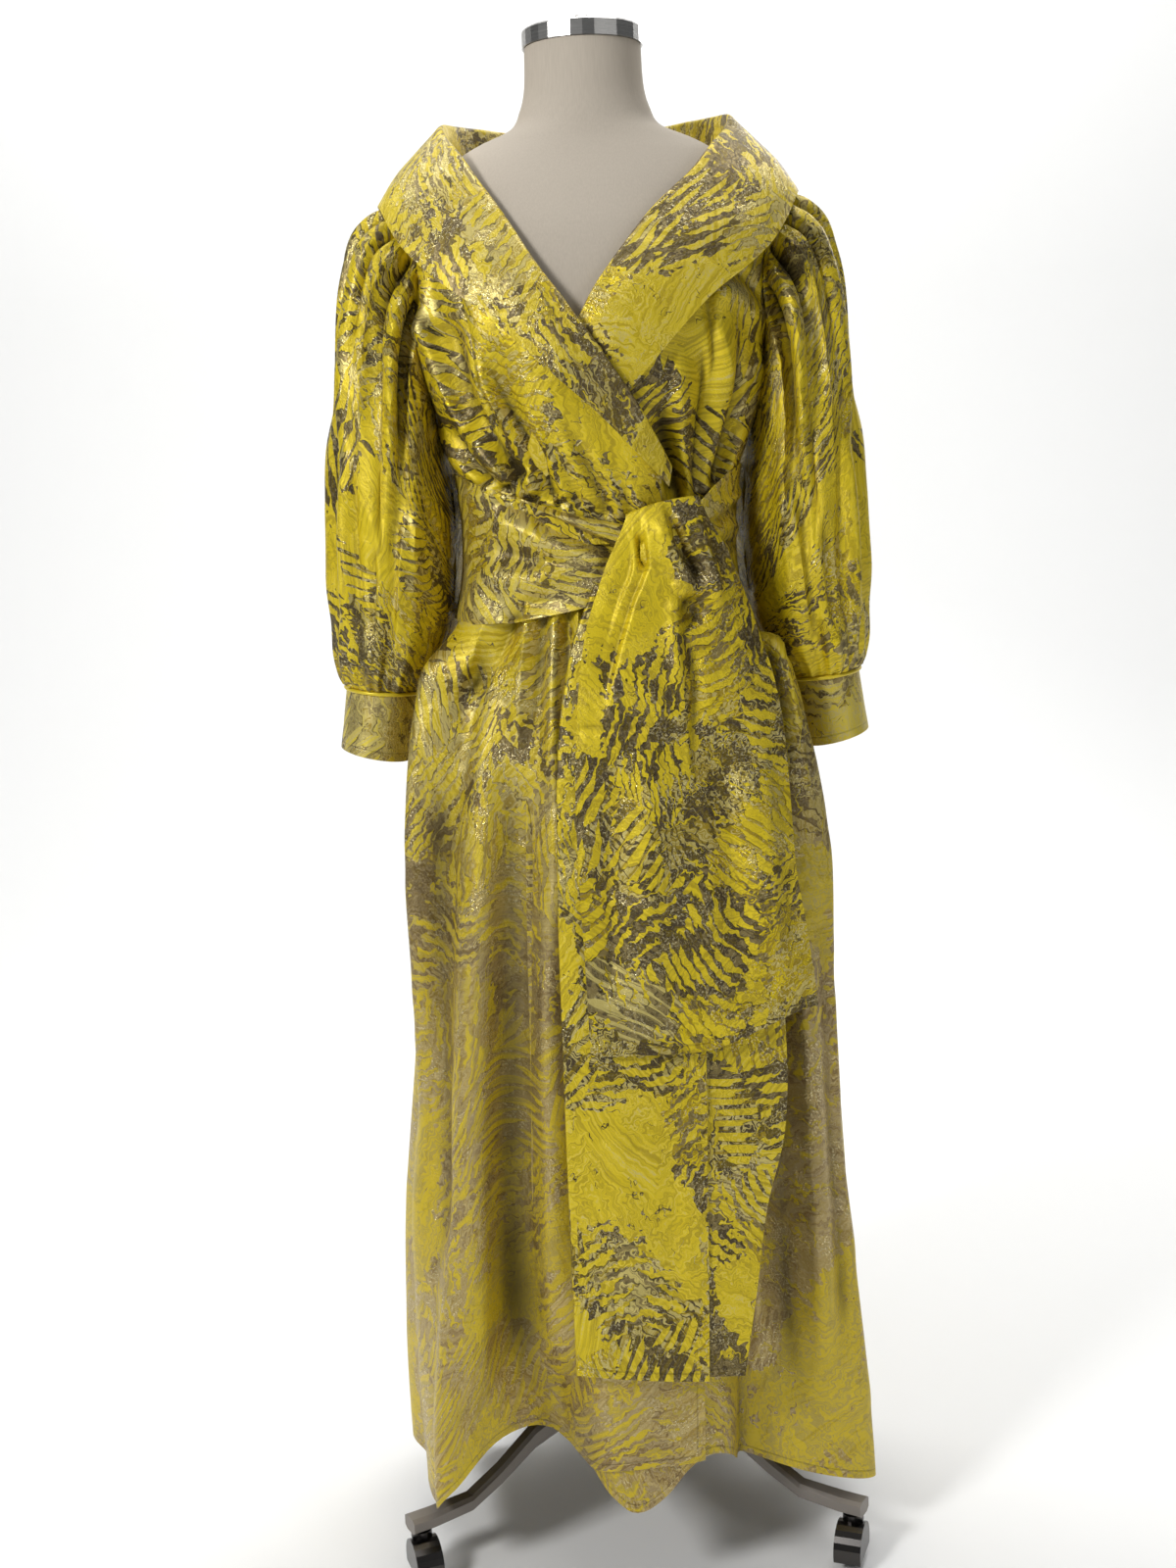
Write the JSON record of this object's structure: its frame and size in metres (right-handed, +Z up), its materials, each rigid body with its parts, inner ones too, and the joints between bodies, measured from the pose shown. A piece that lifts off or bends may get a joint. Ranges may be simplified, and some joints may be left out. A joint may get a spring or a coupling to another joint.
{
  "type": "evening gown on a dress form",
  "caption": "Wrap evening gown with a rolled portrait collar, puffed three-quarter sleeves and a tied sash, on a limbless dress form with a rolling stand.",
  "frame": {"origin": "middle of the footprint's bounding box on the floor, under the stand", "axes": "+Z up, -Y towards the front of the gown, +X towards the wearer's left"},
  "size_m": [0.5248, 0.4728, 1.5036],
  "materials": {
    "brocade": "metallic brocade in bright yellow, cream gold and taupe brush strokes",
    "linen": "plain off-white linen cover",
    "cap_steel": "brushed",
    "pole_steel": "brushed",
    "stand_iron": "satin taupe paint",
    "caster_metal": "glossy gunmetal",
    "caster_tread": "matte"
  },
  "bodies": {
    "gown_on_form": {"bodice_back": "brocade", "bodice_front_right": "brocade", "bodice_front_left": "brocade", "collar_right": "brocade", "collar_left": "brocade", "sleeve_right": "brocade", "sleeve_left": "brocade", "cuff_right": "brocade", "cuff_left": "brocade", "skirt_back": "brocade", "skirt_front_right": "brocade", "skirt_front_left": "brocade", "sash_front": "brocade", "sash_back": "brocade", "sash_left": "brocade", "sash_knot": "brocade", "sash_tail_wide": "brocade", "sash_tail_long": "brocade", "dress_form": "linen", "neck_cap": "cap_steel", "cap_knob": "cap_steel", "pole": "pole_steel", "pole_collar": "stand_iron", "hub": "stand_iron", "hub_sleeve": "stand_iron", "leg_1": "stand_iron", "leg_2": "stand_iron", "leg_3": "stand_iron"},
    "caster_1": {"caster_hood_1": "caster_metal"},
    "caster_2": {"caster_hood_2": "caster_metal"},
    "caster_3": {"caster_hood_3": "caster_metal"},
    "wheel_1": {"caster_wheel_1": "caster_tread"},
    "wheel_2": {"caster_wheel_2": "caster_tread"},
    "wheel_3": {"caster_wheel_3": "caster_tread"}
  },
  "joints": [
    {"name": "caster_swivel_1", "type": "hinge", "parent": "gown_on_form", "child": "caster_1", "pos_m": [0.21651, -0.151, 0.0495], "axis": [0, 0, 1], "continuous": true},
    {"name": "caster_swivel_2", "type": "hinge", "parent": "gown_on_form", "child": "caster_2", "pos_m": [-0.21651, -0.151, 0.0495], "axis": [0, 0, 1], "continuous": true},
    {"name": "caster_swivel_3", "type": "hinge", "parent": "gown_on_form", "child": "caster_3", "pos_m": [0, 0.224, 0.0495], "axis": [0, 0, 1], "continuous": true},
    {"name": "wheel_spin_1", "type": "hinge", "parent": "caster_1", "child": "wheel_1", "pos_m": [0.21309, -0.1604, 0.02], "axis": [0.9397, -0.342, 0], "continuous": true},
    {"name": "wheel_spin_2", "type": "hinge", "parent": "caster_2", "child": "wheel_2", "pos_m": [-0.21309, -0.1604, 0.02], "axis": [0.9397, 0.342, 0], "continuous": true},
    {"name": "wheel_spin_3", "type": "hinge", "parent": "caster_3", "child": "wheel_3", "pos_m": [0, 0.214, 0.02], "axis": [1, 0, 0], "continuous": true}
  ]
}
